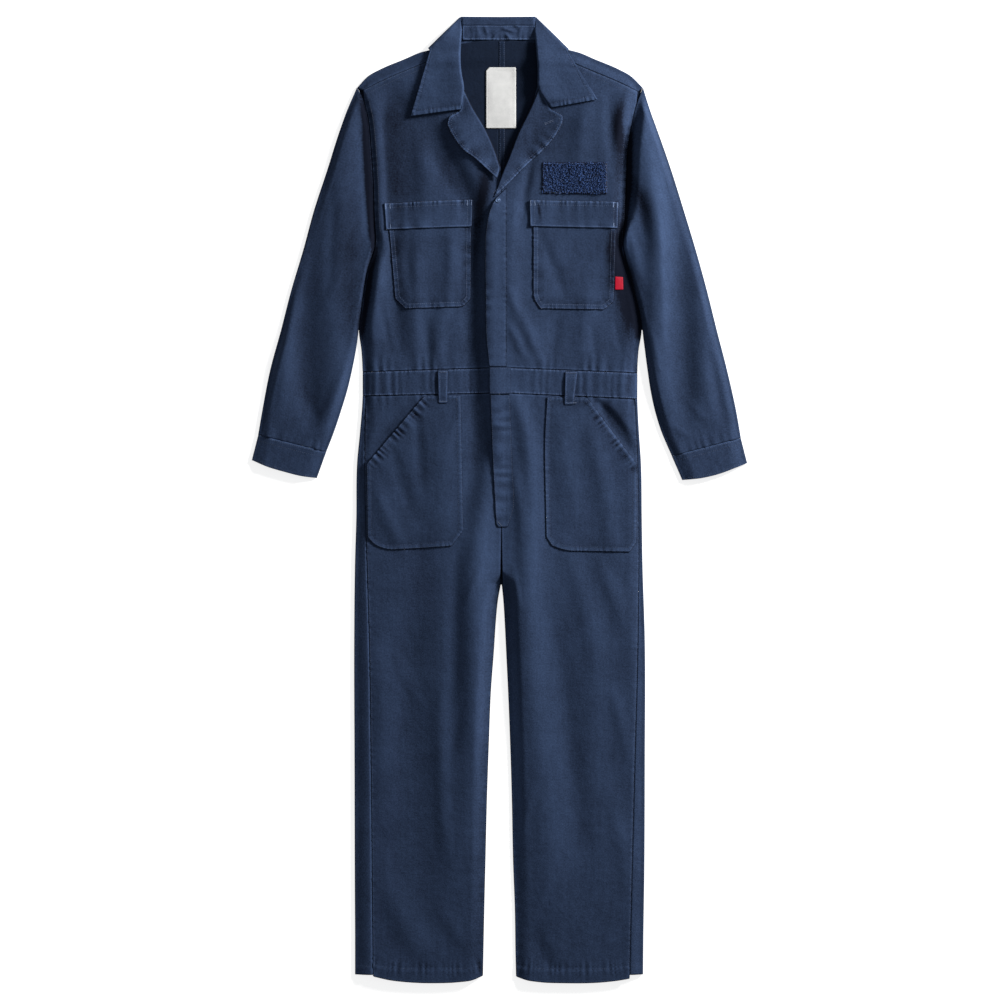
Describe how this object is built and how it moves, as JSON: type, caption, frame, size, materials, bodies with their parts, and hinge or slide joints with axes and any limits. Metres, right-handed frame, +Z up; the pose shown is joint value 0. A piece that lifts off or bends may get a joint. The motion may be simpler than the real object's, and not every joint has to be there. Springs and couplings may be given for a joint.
{
  "type": "boiler suit",
  "caption": "Navy twill boiler suit laid flat on its back, with a notched collar, a centre front closing strip, flapped chest pockets, a waistband and slanted hip pockets",
  "frame": {"origin": "Middle of the suit's box in plan, at the height of the surface it lies on", "axes": "+X towards the wearer's left sleeve, +Y towards the collar, +Z up out of the suit's front"},
  "size_m": [0.8226, 1.6049, 0.0134],
  "materials": {
    "navy_twill": "matte cotton twill",
    "loop_pile": "fuzzy looped pile",
    "red_tape": "woven tape, bare",
    "white_tape": "satin tape, bare",
    "dark_metal": "dark plated snap cap"
  },
  "bodies": {
    "root": {"belt_loop_left": "navy_twill", "belt_loop_right": "navy_twill", "bodice_back_left": "navy_twill", "bodice_back_right": "navy_twill", "bodice_front_left": "navy_twill", "bodice_front_right": "navy_twill", "chest_flap_left": "navy_twill", "chest_flap_right": "navy_twill", "chest_pocket_left": "navy_twill", "chest_pocket_right": "navy_twill", "collar": "navy_twill", "collar_stand": "navy_twill", "cuff_left": "navy_twill", "cuff_right": "navy_twill", "edge_tab": "red_tape", "hip_pocket_left": "navy_twill", "hip_pocket_right": "navy_twill", "lapel_left": "navy_twill", "lapel_right": "navy_twill", "loop_patch": "loop_pile", "neck_label": "white_tape", "placket_lower": "navy_twill", "placket_upper": "navy_twill", "placket_waist": "navy_twill", "sleeve_left": "navy_twill", "sleeve_right": "navy_twill", "snap": "dark_metal", "trouser_back_left": "navy_twill", "trouser_back_right": "navy_twill", "trouser_front_left": "navy_twill", "trouser_front_right": "navy_twill", "waistband_back": "navy_twill", "waistband_front_left": "navy_twill", "waistband_front_right": "navy_twill"}
  },
  "joints": []
}
